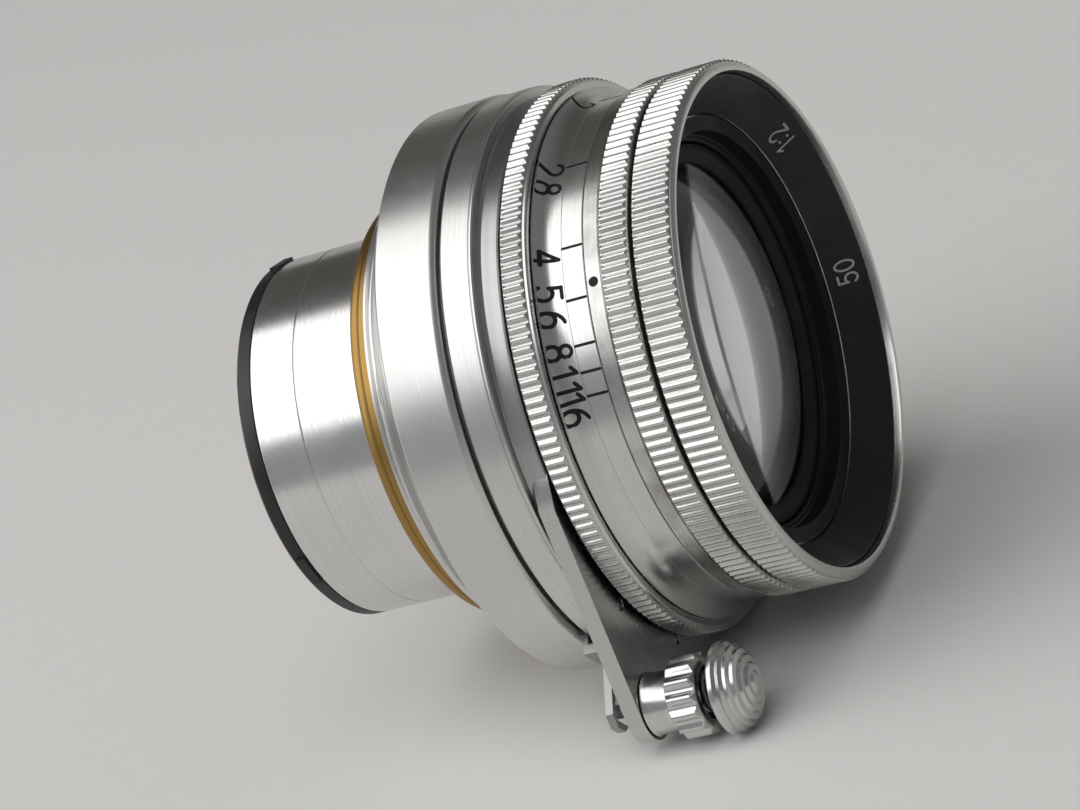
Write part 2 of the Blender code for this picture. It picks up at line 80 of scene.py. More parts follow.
def at(x, r, angle):
    """A point in metres from x, radius and angle about the optical axis."""
    turn = math.radians(angle)
    return Vector((x, -r * math.sin(turn), r * math.cos(turn))) * MM


FLANGE_R = radius("mount_flange")
THREAD_REAR, FOCUS_SEAT = ends("mount_flange")
THREAD_R = 19.5
FLANGE_FRONT = 5.1
SLEEVE_R = 18.4
GROOVE_R = 22.8        # bottom of the groove between the flange and the focus ring
HELICOID_REAR, HELICOID_FRONT = ends("helicoid_barrel")
HELICOID_R = radius("helicoid_barrel")
GUIDE_R = 15.9
TUBE_REAR, TUBE_FRONT = ends("sliding_tube")
TUBE_R = radius("sliding_tube")
TUBE_BORE = 14.3
BARREL_R = 18.4
RECESS_R = 18.0
RIM_BORE = 20.6
FRONT_GLASS_R = 14.7
REAR_CELL_R = 13.2
END_REAR = ends("tube_end_ring")[0]
FOCUS_REAR, NECK_FRONT = ends("focus_ring")
FOCUS_R = radius("focus_ring")
FOCUS_FRONT = 8.8
NECK_R = 22.6
GRIP_REAR, GRIP_FRONT = ends("grip_ring")
GRIP_R = radius("grip_ring")
SCALE_REAR, SCALE_FRONT = ends("scale_sleeve")
SCALE_R = 21.3
INDEX_REAR, NARROW_FRONT = ends("aperture_ring")
NARROW_R = radius("aperture_ring")
WIDE_REAR, RIM_FRONT = ends("front_ring")
WIDE_R = radius("front_ring")
LEVER_REAR, LEVER_FRONT = ends("focus_lever")
BUTTON_REAR, BUTTON_TOP = ends("lock_button")
KNOB_ANGLE, KNOB_OUT = knob_centre()

KNURL_FALL = (1.0, 0.9, 0.5, 0.1, 0.0, 0.1, 0.5, 0.9)    # depth of a tooth at eight steps round it
THREAD_PITCH = 25.4 / 26
THREAD_DEPTH = 0.5


# Materials --------------------------------------------------------------------------------------
class Surface:
    """One procedural material, with short calls for its nodes. Coordinates are in metres."""

    def __init__(self, name, colour, rough, metal=0.0, gloss=0.5):
        self.material = bpy.data.materials.new(name)
        self.material.use_nodes = True
        self.tree = self.material.node_tree
        self.shader = self.tree.nodes["Principled BSDF"]
        self.shader.inputs["Base Color"].default_value = (*colour, 1)
        self.shader.inputs["Roughness"].default_value = rough
        self.shader.inputs["Metallic"].default_value = metal
        self.shader.inputs["Specular IOR Level"].default_value = gloss
        self.colour = colour
        self.place = self.tree.nodes.new("ShaderNodeTexCoord").outputs["Object"]

    def join(self, value, socket):
        if isinstance(value, bpy.types.NodeSocket):
            self.tree.links.new(value, socket)
        else:
            socket.default_value = value

    def calc(self, operation, one, two=0.0, clamp=False):
        node = self.tree.nodes.new("ShaderNodeMath")
        node.operation = operation
        node.use_clamp = clamp
        self.join(one, node.inputs[0])
        self.join(two, node.inputs[1])
        return node.outputs[0]

    def ramp(self, value, low, high, out_low=0.0, out_high=1.0):
        """Takes a value from low..high to out_low..out_high, held at both ends."""
        node = self.tree.nodes.new("ShaderNodeMapRange")
        self.join(value, node.inputs["Value"])
        node.inputs["From Min"].default_value = low
        node.inputs["From Max"].default_value = high
        node.inputs["To Min"].default_value = out_low
        node.inputs["To Max"].default_value = out_high
        return node.outputs["Result"]

    def noise(self, place, scale, detail=4.0, rough=0.5):
        node = self.tree.nodes.new("ShaderNodeTexNoise")
        self.join(place, node.inputs["Vector"])
        node.inputs["Scale"].default_value = scale
        node.inputs["Detail"].default_value = detail
        node.inputs["Roughness"].default_value = rough
        return node.outputs["Fac"]

    def mix(self, amount, one, two):
        node = self.tree.nodes.new("ShaderNodeMix")
        node.data_type = "RGBA"
        self.join(amount, node.inputs[0])
        self.join(one if isinstance(one, bpy.types.NodeSocket) else (*one, 1), node.inputs[6])
        self.join(two if isinstance(two, bpy.types.NodeSocket) else (*two, 1), node.inputs[7])
        return node.outputs[2]

    def parts(self, centre=(0, 0)):
        """x, and the distance from an axis along X through centre (y, z)."""
        split = self.tree.nodes.new("ShaderNodeSeparateXYZ")
        self.join(self.place, split.inputs[0])
        y = self.calc("SUBTRACT", split.outputs["Y"], centre[0])
        z = self.calc("SUBTRACT", split.outputs["Z"], centre[1])
        square = self.calc("ADD", self.calc("MULTIPLY", y, y), self.calc("MULTIPLY", z, z))
        return split.outputs["X"], self.calc("SQRT", square)

    def bump(self, height, strength, distance=0.00002):
        node = self.tree.nodes.new("ShaderNodeBump")
        node.inputs["Strength"].default_value = strength
        node.inputs["Distance"].default_value = distance
        self.join(height, node.inputs["Height"])
        self.join(node.outputs[0], self.shader.inputs["Normal"])

    def paint(self, socket, value):
        self.join(value, self.shader.inputs[socket])


def turned_metal(name, colour, rough, lines, grime=None, centre=(0, 0)):
    """Metal finished on a lathe: fine lines round its axis, handling marks, and grime low in the teeth.

    grime = (radius of the roots, radius where it ends, foremost x).
    """
    made = Surface(name, colour, rough, 1.0)
    x, r = made.parts(centre)
    both = made.tree.nodes.new("ShaderNodeCombineXYZ")
    made.join(x, both.inputs[0])
    made.join(r, both.inputs[1])
    fine = made.noise(both.outputs[0], 9000, 3, 0.7)
    wide = made.noise(both.outputs[0], 1700, 2)
    cloud = made.noise(made.place, 260, 5, 0.6)
    specks = made.noise(made.place, 2600, 3, 0.6)
    made.bump(made.calc("ADD", fine, made.calc("MULTIPLY", wide, 0.6)), lines)
    blotches = made.ramp(cloud, 0.3, 0.7, -0.03, 0.03)
    dull = made.calc("ADD", blotches, made.ramp(fine, 0.3, 0.7, -0.03, 0.03))
    made.paint("Roughness", made.calc("ADD", dull, rough, clamp=True))
    shade = made.mix(made.ramp(cloud, 0.35, 0.75, 0.0, 0.1), colour, [c * 0.8 for c in colour])
    shade = made.mix(made.ramp(fine, 0.4, 0.62, 0.0, 0.16), shade, [c * 0.45 for c in colour])
    spot = made.ramp(specks, 0.74, 0.8)
    shade = made.mix(made.calc("MULTIPLY", spot, 0.35), shade, (0.12, 0.09, 0.06))
    if grime:
        low = made.ramp(r, grime[0] * MM, grime[1] * MM, 0.5, 0.0)
        behind = made.calc("LESS_THAN", x, grime[2] * MM)
        patchy = made.calc("MULTIPLY", low, made.ramp(cloud, 0.4, 0.65, 0.2, 1.0))
        shade = made.mix(made.calc("MULTIPLY", patchy, behind), shade, (0.13, 0.11, 0.09))
    made.paint("Base Color", shade)
    return made.material


def black_enamel(name, rough, gloss=0.5, wear=None):
    """Black paint. wear = (x, reach) lets brass show on the edge at the rear end, x."""
    made = Surface(name, (0.010, 0.010, 0.011), rough, 0.0, gloss)
    dust = made.noise(made.place, 900, 5, 0.7)
    cloud = made.noise(made.place, 320, 4)
    shade = made.mix(made.ramp(dust, 0.55, 0.85, 0.0, 0.3), made.colour, (0.06, 0.057, 0.053))
    made.paint("Roughness", made.ramp(cloud, 0.3, 0.7, rough - 0.08, rough + 0.12))
    made.bump(dust, 0.25)
    if wear:
        x, r = made.parts()
        edge = made.ramp(x, wear[0] * MM, (wear[0] + wear[1]) * MM, 1.0, 0.0)
        rubbed = made.calc("MULTIPLY", edge, made.ramp(cloud, 0.4, 0.55))
        shade = made.mix(rubbed, shade, (0.45, 0.27, 0.10))
        made.paint("Metallic", rubbed)
    made.paint("Base Color", shade)
    return made.material


def clear_glass(name, index, tint):
    made = Surface(name, tint, 0.0)
    made.shader.inputs["IOR"].default_value = index
    made.shader.inputs["Transmission Weight"].default_value = 1.0
    haze = made.noise(made.place, 180, 2)
    made.paint("Roughness", made.ramp(haze, 0.5, 0.9, 0.0, 0.004))
    return made.material


def wool(name):
    made = Surface(name, (0.03, 0.03, 0.03), 0.95)
    fibre = made.noise(made.place, 4000, 6, 0.8)
    made.paint("Base Color", made.mix(fibre, (0.01, 0.01, 0.01), (0.07, 0.065, 0.06)))
    made.bump(fibre, 0.9, 0.0001)
    return made.material


# Mesh building blocks -----------------------------------------------------------------------------
def softened(outline, size):
    """Rounds the corners of a closed outline of (x, r), each with a curve of four points."""
    made = []
    for i, corner in enumerate(outline):
        here = Vector(corner)
        back = Vector(outline[i - 1]) - here
        on = Vector(outline[(i + 1) % len(outline)]) - here
        if corner[1] == 0 or back.angle(on) > math.radians(FLAT_CORNER):
            made.append(tuple(here))
            continue
        start = here + back.normalized() * min(size, back.length * 0.4)
        stop = here + on.normalized() * min(size, on.length * 0.4)
        for step in range(4):
            t = step / 3
            point = start * (1 - t) ** 2 + here * 2 * t * (1 - t) + stop * t * t
            made.append(tuple(point))
    return made


def area(outline):
    pairs = zip(outline, outline[1:] + outline[:1])
    return sum(a[0] * b[1] - b[0] * a[1] for a, b in pairs) / 2


def even(steps):
    return [360 * i / steps for i in range(steps)]


def show(name, data, body, surface, nodes=()):
    """Links a mesh as a piece that rides on a body, and stands for some CAD nodes."""
    data.shade_smooth()
    data.set_sharp_from_angle(angle=math.radians(SHARP_ANGLE))
    data.materials.append(surface)
    made = bpy.data.objects.new(name, data)
    bpy.context.collection.objects.link(made)
    normals = made.modifiers.new("normals", "WEIGHTED_NORMAL")
    normals.keep_sharp = True
    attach(made, body)
    if nodes:
        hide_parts(*nodes)
    return made


def lathe(outline, angles=None, shape=None, soft=SOFT, centre=None):
    """The mesh of a closed outline of (x, r) turned about an axis along X.

    shape(x, r, angle) may lower the radius, for teeth and threads. centre is a point of the axis.
    """
    angles = angles or even(SEGMENTS)
    outline = softened(outline, soft) if soft else list(outline)
    if area(outline) > 0:
        outline.reverse()
    offset = centre or Vector()
    points = []
    rows = []
    for x, r in outline:
        if r == 0:
            rows.append([len(points)] * len(angles))
            points.append(at(x, 0, 0) + offset)
            continue
        rows.append(range(len(points), len(points) + len(angles)))
        for angle in angles:
            points.append(at(x, shape(x, r, angle) if shape else r, angle) + offset)
    faces = []
    for one, two in zip(rows, rows[1:] + rows[:1]):
        for i in range(len(angles)):
            j = (i + 1) % len(angles)
            corners = list(dict.fromkeys((one[i], one[j], two[j], two[i])))
            if len(corners) > 2:
                faces.append(corners)
    data = bpy.data.meshes.new("turned")
    data.from_pydata(points, [], faces)
    return data


def knurl_angles(teeth):
    steps = len(KNURL_FALL)
    return [360 * (i + j / steps) / teeth for i in range(teeth) for j in range(steps)]


def knurl(teeth, crest, depth, low, high):
    """A shape that cuts straight teeth between x = low and high."""
    steps = len(KNURL_FALL)

    def shape(x, r, angle):
        if not low <= x <= high:
            return r
        step = round(angle / 360 * teeth * steps) % steps
        return min(r, crest - depth * KNURL_FALL[step])

    return shape


def chamfer_rows(x_low, r_low, x_high, r_high, count=5):
    """Points along a straight chamfer, close enough for teeth to run out on it."""
    return [
        (x_low + (x_high - x_low) * i / count, r_low + (r_high - r_low) * i / count)
        for i in range(count + 1)
    ]


def thread_shape(x, r, angle):
    """A screw thread on the mount, fading out at both ends. It is left-hand: a real one is right-hand."""
    low, high = THREAD_REAR + 0.1, -0.75
    if not low <= x <= high or r < THREAD_R - 0.7:
        return r
    phase = (x / THREAD_PITCH + angle / 360) % 1
    groove = min(1.0, max(0.0, 1.25 - abs(phase - 0.5) * 3.2))
    fade = min(1.0, (x - low) / 0.3, (high - x) / 0.4)
    return r - THREAD_DEPTH * groove * fade


def break_edges(made, width):
    """Bevels the sharp edges of a piece, before its normals are weighted."""
    bevel = made.modifiers.new("bevel", "BEVEL")
    bevel.width = width * MM
    bevel.segments = 3
    bevel.angle_limit = math.radians(BEVEL_ANGLE)
    made.modifiers.move(1, 0)


def bevelled_copy(node, width, body, surface):
    """A CAD node's own shape with its edges broken, standing for the node."""
    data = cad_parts[node].data.copy()
    data.materials.clear()
    mesh = bmesh.new()
    mesh.from_mesh(data)
    bmesh.ops.remove_doubles(mesh, verts=mesh.verts, dist=1e-7)
    bmesh.ops.dissolve_limit(mesh, angle_limit=math.radians(1), verts=mesh.verts, edges=mesh.edges)
    mesh.to_mesh(data)
    mesh.free()
    made = show(node + "_detail", data, body, surface, (node,))
    break_edges(made, width)


def carve(made, operation, *tools):
    """Applies a Boolean with each tool mesh, then throws the tools away."""
    for tool in tools:
        modifier = made.modifiers.new("carve", "BOOLEAN")
        modifier.operation = operation
        modifier.object = tool
        modifier.solver = "EXACT"
        made.modifiers.move(len(made.modifiers) - 1, 0)
        with bpy.context.temp_override(object=made, active_object=made):
            bpy.ops.object.modifier_apply(modifier=modifier.name)
        bpy.data.objects.remove(tool, do_unlink=True)


def wedge(angle, width, low, high):
    """A block centred on an angle about the axis: low and high are (x, r) corners."""
    data = bpy.data.meshes.new("wedge")
    mesh = bmesh.new()
    bmesh.ops.create_cube(mesh, size=1)
    for vert in mesh.verts:
        x = low[0] if vert.co.x < 0 else high[0]
        r = low[1] if vert.co.z < 0 else high[1]
        vert.co = at(x, r, 0) + Vector((0, vert.co.y * width * MM, 0))
    turn = Matrix.Rotation(math.radians(angle), 4, "X")
    bmesh.ops.transform(mesh, matrix=turn, verts=mesh.verts)
    bmesh.ops.recalc_face_normals(mesh, faces=mesh.faces)
    mesh.to_mesh(data)
    mesh.free()
    made = bpy.data.objects.new("wedge", data)
    bpy.context.collection.objects.link(made)
    return made


# Engraved marks ---------------------------------------------------------------------------------
def oval(x, y, rx, ry, start, stop, steps=14):
    """Points along an ellipse, angles in degrees anticlockwise from the right."""
    made = []
    for i in range(steps + 1):
        turn = math.radians(start + (stop - start) * i / steps)
        made.append((x + rx * math.cos(turn), y + ry * math.sin(turn)))
    return made


# Strokes of the signs that are used, each in a box 0.6 wide and 1 high.
SIGNS = {
    "0": [oval(0.3, 0.5, 0.3, 0.5, 0, 360)],
    "1": [[(0.08, 0.8), (0.34, 1.0)], [(0.34, 1.0), (0.34, 0.0)]],
    "2": [oval(0.3, 0.7, 0.3, 0.3, 165, -40) + [(0.02, 0.0)], [(0.02, 0.0), (0.6, 0.0)]],
    "4": [[(0.44, 0.0), (0.44, 1.0)], [(0.44, 1.0), (0.0, 0.3)], [(0.0, 0.3), (0.6, 0.3)]],
    "5": [[(0.54, 1.0), (0.1, 1.0)], [(0.1, 1.0), (0.06, 0.52)], oval(0.28, 0.32, 0.3, 0.32, 138, -150)],
    "6": [oval(0.3, 0.3, 0.3, 0.3, 0, 360), oval(0.66, 0.3, 0.66, 0.7, 178, 108)],
    "8": [oval(0.3, 0.76, 0.24, 0.24, 0, 360), oval(0.3, 0.27, 0.3, 0.27, 0, 360)],
    ".": [[(0.0, 0.05), (0.06, 0.05)]],
    ":": [[(0.06, 0.2), (0.12, 0.2)], [(0.06, 0.68), (0.12, 0.68)]],
}
SIGN_WIDTH = {"1": 0.44, ".": 0.06, ":": 0.18}
SIGN_GAP = 0.22
# A stroke's section: (share of its width, height above the surface)
GROOVE = ((-0.5, -0.02), (-0.4, 0.014), (0.0, 0.004), (0.4, 0.014), (0.5, -0.02))


def dense(line, step):
    """A stroke with points close enough to follow a curved surface."""
    made = [line[0]]
    for one, two in zip(line, line[1:]):
        count = max(1, math.ceil(math.dist(one, two) / step))
        made += [
            (one[0] + (two[0] - one[0]) * i / count, one[1] + (two[1] - one[1]) * i / count)
            for i in range(1, count + 1)
        ]
    return made


def writing(text, height):
    """Strokes in mm of a line of signs, centred on (0, 0)."""
    strokes = []
    pen = 0.0
    for sign in text:
        strokes += [[(pen + u, v - 0.5) for u, v in line] for line in SIGNS[sign]]
        pen += SIGN_WIDTH.get(sign, 0.6) + SIGN_GAP
    half = (pen - SIGN_GAP) / 2
    return [[((u - half) * height, v * height) for u, v in line] for line in strokes]


def rounded_ends(line, width):
    """(point, share of the full width) along a stroke, with its ends drawn in round."""
    first, last = Vector(line[0]), Vector(line[-1])
    into = (Vector(line[1]) - first).normalized() * width
    out = (last - Vector(line[-2])).normalized() * width
    if len(line) > 4 and (first - last).length < width / 2:
        return [(Vector(point), 1.0) for point in line]
    made = [(first - into * 0.48, 0.28), (first - into * 0.33, 0.75)]
    made += [(Vector(point), 1.0) for point in line]
    return made + [(last + out * 0.33, 0.75), (last + out * 0.48, 0.28)]


def engraving(strokes, width, place):
    """The mesh of colour-filled grooves along strokes. place(u, v, height) gives each point."""
    points = []
    faces = []
    columns = len(GROOVE)
    for line in strokes:
        path = rounded_ends(dense(line, 0.12), width)
        for i, (point, share) in enumerate(path):
            before, after = path[max(i - 1, 0)][0], path[min(i + 1, len(path) - 1)][0]
            along = (after - before).normalized()
            side = Vector((-along.y, along.x)) * width * share
            points += [place(*(point + side * across), height) for across, height in GROOVE]
            if i == 0:
                continue
            row = len(points) - columns
            for j in range(columns - 1):
                faces.append((row + j, row + j + 1, row + j + 1 - columns, row + j - columns))
    data = bpy.data.meshes.new("engraving")
    data.from_pydata(points, [], faces)
    return data


def radius_on(profile, x):
    """The radius at x along an open profile of (x, r)."""
    for (x0, r0), (x1, r1) in zip(profile, profile[1:]):
        if x0 <= x <= x1 and x1 > x0:
            return r0 + (r1 - r0) * (x - x0) / (x1 - x0)
    return profile[-1][1]


def on_ring(profile, x_middle, angle, inward=False):
    """Places signs on a ring. They stand towards the front, or towards the rear inside a bore."""
    up = -1 if inward else 1

    def place(u, v, height):
        x = x_middle + up * v
        r = radius_on(profile, x)
        return at(x, r + up * height, angle + math.degrees(u / r))

    return place


# Floor, light and camera ---------------------------------------------------------------------------
def plain(name, colour, rough):
    made = Surface(name, colour, rough)
    grain = made.noise(made.place, 420, 5, 0.6)
    made.paint("Base Color", made.mix(grain, colour, [c * 0.96 for c in colour]))
    made.bump(grain, 0.05)
    return made.material


def sweep(surface):
    """A pale floor that curves up behind the lens into a low backdrop."""
    floor_z = -FLANGE_R * MM
    half = 3.0
    turn = 0.7
    bend = 0.25
    steps = 12
    profile = [(-2.0, floor_z), (turn, floor_z)]
    for i in range(1, steps + 1):
        angle = math.radians(90 * i / steps)
        profile.append((turn + bend * math.sin(angle), floor_z + bend * (1 - math.cos(angle))))
    points = [Vector((x, y, z)) for y, z in profile for x in (-half, half)]
    faces = [(2 * i, 2 * i + 1, 2 * i + 3, 2 * i + 2) for i in range(len(profile) - 1)]
    data = bpy.data.meshes.new("floor")
    data.from_pydata(points, [], faces)
    data.shade_smooth()
    data.materials.append(surface)
    made = bpy.data.objects.new("floor", data)
    bpy.context.collection.objects.link(made)


def panel(name, centre, aim, width, height, watts):
    """A rectangular soft light at centre, in metres, facing aim. Its width runs along X."""
    data = bpy.data.lights.new(name, "AREA")
    data.shape = "RECTANGLE"
    data.size = width
    data.size_y = height
    data.energy = watts
    made = bpy.data.objects.new(name, data)
    made.location = centre
    back = (Vector(centre) - Vector(aim)).normalized()
    right = (Vector((1, 0, 0)) - back * back.x).normalized()
    made.rotation_euler = Matrix((right, back.cross(right), back)).transposed().to_euler()
    bpy.context.collection.objects.link(made)


def surroundings():
    """A room that is dim behind the lens and pale in front of its glass."""
    world = bpy.data.worlds.new("room")
    bpy.context.scene.world = world
    world.use_nodes = True
    tree = world.node_tree
    split = tree.nodes.new("ShaderNodeSeparateXYZ")
    tree.links.new(tree.nodes.new("ShaderNodeTexCoord").outputs["Generated"], split.inputs[0])
    shade = (0.30, 0.30, 0.31, 1)
    dim = (0.085, 0.08, 0.075, 1)
    pale = (0.19, 0.19, 0.19, 1)
    for axis, low, high, colour in (("Y", -0.9, 0.3, dim), ("X", 0.0, 0.8, pale)):
        near = tree.nodes.new("ShaderNodeMapRange")
        near.inputs["From Min"].default_value = low
        near.inputs["From Max"].default_value = high
        tree.links.new(split.outputs[axis], near.inputs["Value"])
        mix = tree.nodes.new("ShaderNodeMix")
        mix.data_type = "RGBA"
        tree.links.new(near.outputs["Result"], mix.inputs[0])
        if axis == "Y":
            mix.inputs[6].default_value = shade
        else:
            tree.links.new(shade, mix.inputs[6])
        mix.inputs[7].default_value = colour
        shade = mix.outputs[2]
    tree.links.new(shade, tree.nodes["Background"].inputs["Color"])


CAMERA_PLACE = (150.4, -289.9, 116.6)
CAMERA_AIM = (1.0, -0.2, -1.8)
CAMERA_ROLL = -24.4
LENS = 138.5


def make_camera():
    data = bpy.data.cameras.new("camera")
    data.lens = LENS
    data.sensor_width = 36
    data.clip_start = 0.01
    made = bpy.data.objects.new("camera", data)
    place = Vector(CAMERA_PLACE) * MM
    back = place - Vector(CAMERA_AIM) * MM
    level = back.to_track_quat("Z", "Y").to_matrix()
    made.location = place
    made.rotation_euler = (level @ Matrix.Rotation(math.radians(CAMERA_ROLL), 3, "Z")).to_euler()
    bpy.context.collection.objects.link(made)
    bpy.context.scene.camera = made


# The lens, body by body ------------------------------------------------------------------------------
def build_mount(skin):
    thread_rows = []
    x = THREAD_REAR + 0.3
    while x < -0.1:
        thread_rows.append((x, THREAD_R))
        x += THREAD_PITCH / 9
    outline = [(THREAD_REAR, SLEEVE_R), (THREAD_REAR, THREAD_R - 0.35)]
    outline += thread_rows
    outline += [
        (0.0, THREAD_R - 0.25),
        (0.0, FLANGE_R - 0.2),
        (0.2, FLANGE_R),
        (FLANGE_FRONT - 0.1, FLANGE_R),
        (FLANGE_FRONT + 0.15, FLANGE_R - 0.15),
        (FLANGE_FRONT + 0.36, FLANGE_R - 0.4),
        (FLANGE_FRONT + 0.36, GROOVE_R),
        (FLANGE_FRONT + 0.55, GROOVE_R),
        (FLANGE_FRONT + 0.55, SLEEVE_R + 0.9),
        (FOCUS_SEAT, SLEEVE_R + 0.9),
        (FOCUS_SEAT, SLEEVE_R),
    ]
    data = lathe(outline, shape=thread_shape)
    show("mount_flange_detail", data, "mount", skin["satin"], ("mount_flange",))
    bevelled_copy("infinity_catch", 0.25, "mount", skin["catch"])
    for number in (1, 2):
        bevelled_copy(f"catch_screw_{number}", 0.05, "mount", skin["steel"])


def build_focus(skin):
    bore = 19.7
    neck_bore = 21.2
    line = 8.42            # a turned line near the front of the ring
    data = lathe(
        [
            (FOCUS_REAR, bore),
            (FOCUS_REAR, FOCUS_R - 0.15),
            (FOCUS_REAR + 0.15, FOCUS_R),
            (line, FOCUS_R),
            (line + 0.06, FOCUS_R - 0.12),
            (line + 0.12, FOCUS_R - 0.02),
            (FOCUS_FRONT - 0.12, FOCUS_R - 0.02),
            (FOCUS_FRONT, FOCUS_R - 0.14),
            (FOCUS_FRONT, bore),
        ],
        soft=0.03,
    )
    show("focus_ring_detail", data, "focus", skin["satin"], ("focus_ring",))
    data = lathe(
        [
            (FOCUS_FRONT + 0.01, neck_bore),
            (FOCUS_FRONT + 0.01, NECK_R + 0.35),
            (FOCUS_FRONT + 0.25, NECK_R + 0.1),
            (FOCUS_FRONT + 0.7, NECK_R),
            (NECK_FRONT - 0.15, NECK_R),
            (NECK_FRONT, NECK_R - 0.15),
            (NECK_FRONT, neck_bore),
        ]
    )
    # The neck's darker chrome is painted shade for the groove it sits in.
    show("focus_neck", data, "focus", skin["neck"])
    build_lever(skin)
    for number in (1, 2):
        bevelled_copy(f"lever_screw_{number}", 0.04, "focus", skin["steel"])
    build_post(skin)
    build_button(skin)


def knob_axis():
    return at(0, KNOB_OUT, KNOB_ANGLE)


def slab(outline, low, high):
    """The mesh of a closed outline of (r, angle) about the axis, from x = low to high."""
    data = bpy.data.meshes.new("slab")
    mesh = bmesh.new()
    base = mesh.faces.new([mesh.verts.new(at(low, r, angle)) for r, angle in outline])
    top = bmesh.ops.extrude_face_region(mesh, geom=[base])["geom"]
    moved = [vert for vert in top if isinstance(vert, bmesh.types.BMVert)]
    bmesh.ops.translate(mesh, verts=moved, vec=((high - low) * MM, 0, 0))
    bmesh.ops.recalc_face_normals(mesh, faces=mesh.faces)
    mesh.to_mesh(data)
    mesh.free()
    return data


def build_lever(skin):
    """The lever's plate: its sides leave the ring as tangents and meet round the post."""
    eye = 2.9
    inner = NECK_R - 0.15
    shoulder = FOCUS_R - 0.2
    spread = math.degrees(math.acos((shoulder - eye) / KNOB_OUT))
    steps = 24
    outline = []
    for i in range(2 * steps + 1):
        turn = math.radians(spread * (i / steps - 1))
        side = KNOB_OUT + eye * math.cos(turn), eye * math.sin(turn)
        outline.append((math.hypot(*side), KNOB_ANGLE + math.degrees(math.atan2(side[1], side[0]))))
    root = spread * 0.86
    outline += [(shoulder / math.cos(math.radians(spread - root)), KNOB_ANGLE + root)]
    outline += [(inner + 0.05, KNOB_ANGLE + spread)]
    outline += [(inner, KNOB_ANGLE + spread * (1 - i / steps)) for i in range(2 * steps + 1)]
    outline += [(inner + 0.05, KNOB_ANGLE - spread)]
    outline += [(shoulder / math.cos(math.radians(spread - root)), KNOB_ANGLE - root)]
    data = slab(outline, LEVER_REAR, LEVER_FRONT)
    nodes = ("focus_lever",)
    made = show("focus_lever_detail", data, "focus", skin["plate"], nodes)
    pocket_r = 0.52
    floor, above = LEVER_FRONT - 0.5, LEVER_FRONT + 0.5
    pocket = [(floor, 0), (floor, pocket_r), (above, pocket_r), (above, 0)]
    screw_angle = 12
    pockets = []
    for side in (screw_angle, -screw_angle):
        place = at(0, NECK_R + 0.85, KNOB_ANGLE + side)
        tool = bpy.data.objects.new("pocket", lathe(pocket, even(32), None, 0, place))
        bpy.context.collection.objects.link(tool)
        pockets.append(tool)
    carve(made, "DIFFERENCE", *pockets)
    break_edges(made, 0.12)


def build_post(skin):
    """The post of the focus lever: a plain stem, and a collar with broad flutes."""
    flutes = 14
    collar_r = radius("lever_post")
    stem_r = 2.5
    pin_bore = 1.3
    spring_bore = 2.2
    spring_rear = 13.2
    flute_depth = 0.4
    rear, front = ends("lever_post")
    collar_rear = 12.7
    phase = [1.0, 0.92, 0.62, 0.2, 0.0, 0.0, 0.2, 0.62, 0.92]
    angles = [360 * (i + j / len(phase)) / flutes for i in range(flutes) for j in range(len(phase))]

    def shape(x, r, angle):
        if x < collar_rear - 0.01 or r < stem_r - 0.1:
            return r
        step = round(angle / 360 * flutes * len(phase)) % len(phase)
        return min(r, collar_r - flute_depth * phase[step])

    outline = [(rear, pin_bore), (rear, stem_r + 0.15), (rear + 0.25, stem_r), (collar_rear, stem_r)]
    outline += chamfer_rows(collar_rear + 0.02, stem_r + 0.05, collar_rear + 0.45, collar_r)
    outline += chamfer_rows(front - 0.4, collar_r, front, collar_r - 0.6)
    outline += [(front, spring_bore), (spring_rear, spring_bore), (spring_rear, pin_bore)]
    data = lathe(outline, angles, shape, 0, knob_axis())
    show("lever_post_detail", data, "focus", skin["knob"], ("lever_post",))


def build_button(skin):
    """The lock button: a drum that rises to a crown in sharp concentric ridges."""
    drum = radius("lock_button")
    ridges = 6
    depth = 0.26
    hollow_r = 1.2
    hollow_front = BUTTON_REAR + 1.2
    shoulder = BUTTON_REAR + 0.5
    rise = BUTTON_TOP - shoulder
    outline = [(BUTTON_REAR, hollow_r), (BUTTON_REAR, drum - 0.15), (BUTTON_REAR + 0.15, drum)]
    outline.append((shoulder, drum))
    for i in range(1, 2 * ridges + 1):
        turn = math.radians(90 * i / (2 * ridges + 1.5))
        size = drum if i % 2 == 0 else drum - depth
        outline.append((shoulder + rise * size / drum * math.sin(turn), size * math.cos(turn)))
    outline += [(BUTTON_TOP - 0.02, 0), (hollow_front, 0), (hollow_front, hollow_r)]
    data = lathe(outline, even(96), None, 0.03, knob_axis())
    show("lock_button_detail", data, "lock", skin["knob"], ("lock_button",))


LUG_ANGLES = (109.1, 229.1, 349.1)
LUG_R = radius("tube_end_ring")


def build_helicoid(skin):
    chamber = LUG_R + 0.3
    notch_width = 4.4
    rear = HELICOID_REAR
    data = lathe(
        [
            (rear, GUIDE_R),
            (rear, HELICOID_R - 0.5),
            (rear + 0.15, HELICOID_R - 0.18),
            (rear + 0.5, HELICOID_R),
            (rear + 0.86, HELICOID_R),
            (rear + 0.95, HELICOID_R - 0.1),
            (rear + 1.04, HELICOID_R),
            (HELICOID_FRONT, HELICOID_R),
            (HELICOID_FRONT, GUIDE_R),
            (4.0, GUIDE_R),
            (4.0, chamber),
            (0.6, chamber),
            (0.6, GUIDE_R),
            (-2.2, GUIDE_R),
            (-2.2, chamber),
            (rear + 0.7, chamber),
            (rear + 0.7, GUIDE_R),
        ]
    )
    nodes = ("helicoid_barrel",)
    made = show("helicoid_barrel_detail", data, "helicoid", skin["brass"], nodes)
    low, high = (rear - 1, 15.0), (rear + 1.4, chamber)
    notches = [wedge(angle, notch_width, low, high) for angle in LUG_ANGLES]
    carve(made, "DIFFERENCE", *notches)


